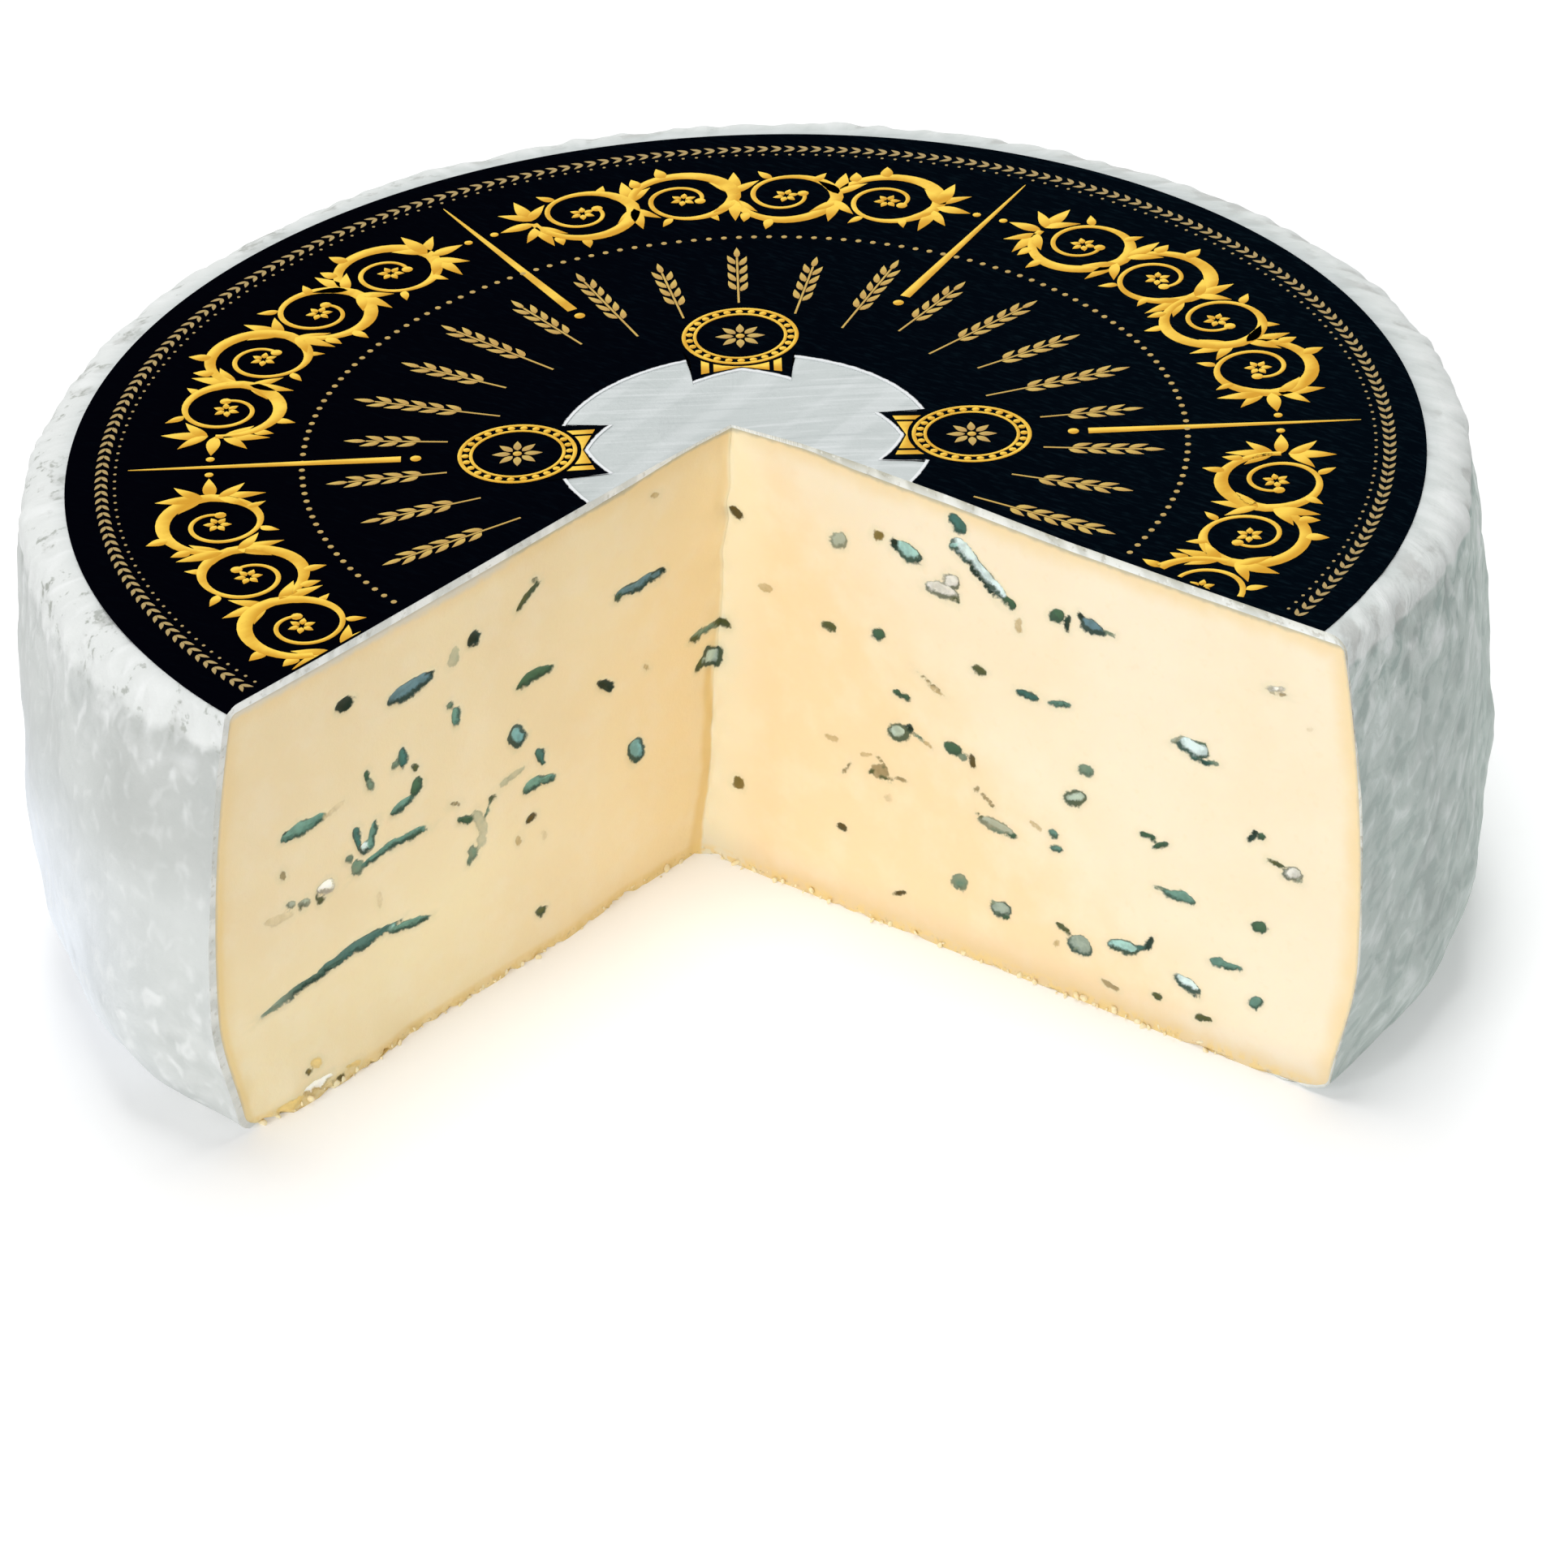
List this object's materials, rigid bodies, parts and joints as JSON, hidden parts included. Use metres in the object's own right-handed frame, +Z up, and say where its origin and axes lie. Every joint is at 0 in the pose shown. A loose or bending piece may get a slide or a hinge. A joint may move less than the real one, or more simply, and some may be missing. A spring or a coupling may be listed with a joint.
{
  "type": "blue cheese wheel",
  "caption": "Round soft blue cheese wheel with a wedge cut out, a pale bloomy rind, open blue veins in the cut faces and a paper ring label on top.",
  "frame": {"origin": "middle of the footprint, on the surface that the wheel stands on", "axes": "+Z up along the wheel's axis, the cut opening faces -Y, +X to the right when looking into the cut"},
  "size_m": [0.2005, 0.1666, 0.0711],
  "materials": {
    "rind": "matt grey-white bloomy cheese rind, lumpy, with cloth-like wrinkles",
    "cheese_paste": "smooth creamy pale yellow cheese paste with blue-green mould veins",
    "label_paper": "satin blue-black printed paper",
    "gold_print": "satin gold ink on paper"
  },
  "bodies": {
    "root": {"cheese_wheel": "rind", "top_label": "label_paper"}
  },
  "joints": []
}
